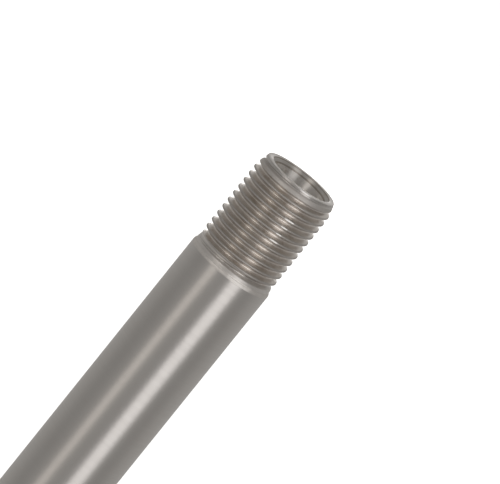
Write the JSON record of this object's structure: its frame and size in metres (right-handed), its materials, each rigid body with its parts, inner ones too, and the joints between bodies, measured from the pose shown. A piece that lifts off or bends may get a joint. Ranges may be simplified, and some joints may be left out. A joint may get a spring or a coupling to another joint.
{
  "type": "thermocouple",
  "caption": "Straight stainless tube thermocouple with a male pipe thread round its open end, a closed rounded tip and a spring-loaded insert.",
  "frame": {"origin": "centre of the end face at the open, threaded end of the tube", "axes": "+Z along the tube axis, out of the open threaded end; the closed tip lies at minus Z; +X through the lead of the negative leg"},
  "size_m": [0.01, 0.01, 0.1],
  "materials": {
    "ground_steel": "fine ground round the tube",
    "weld_metal": "weld ground flush",
    "drawn_steel": "bright drawn",
    "turned_steel": "fine turned",
    "spring_steel": "bright drawn wire",
    "magnesia": "pressed powder, matt",
    "alumina": "unglazed, fine",
    "potting_resin": "cast resin",
    "nickel_chromium": "oxidised wire",
    "nickel_aluminium": "drawn wire",
    "junction_bead": "welded bead, heat tinted",
    "crimp_nickel": "nickel plated",
    "lead_wire": "plain wire",
    "green_insulation": "varnished glass fibre braid",
    "white_insulation": "varnished glass fibre braid",
    "tinned_ferrule": "bright tinned"
  },
  "bodies": {
    "tube": {"protection_tube": "ground_steel", "tip_plug": "ground_steel", "closing_weld": "weld_metal", "guide_bush": "alumina", "snap_ring": "spring_steel", "compression_spring": "spring_steel"},
    "insert": {"insert_sheath": "drawn_steel", "insert_tip_cap": "drawn_steel", "magnesia_core": "magnesia", "positive_conductor": "nickel_chromium", "negative_conductor": "nickel_aluminium", "hot_junction": "junction_bead", "transition_sleeve": "turned_steel", "potting_seal": "potting_resin", "positive_splice": "crimp_nickel", "negative_splice": "crimp_nickel", "positive_lead": "lead_wire", "negative_lead": "lead_wire", "positive_lead_sleeve": "green_insulation", "negative_lead_sleeve": "white_insulation", "positive_ferrule": "tinned_ferrule", "negative_ferrule": "tinned_ferrule", "seat_washer": "turned_steel"}
  },
  "joints": [
    {"name": "insert_lift", "type": "slide", "parent": "tube", "child": "insert", "axis": [0, 0, 1], "range_m": [0, 0.004], "stiffness_N_per_m": 1340, "springref_m": -0.0031, "deforming": ["compression_spring"]}
  ]
}
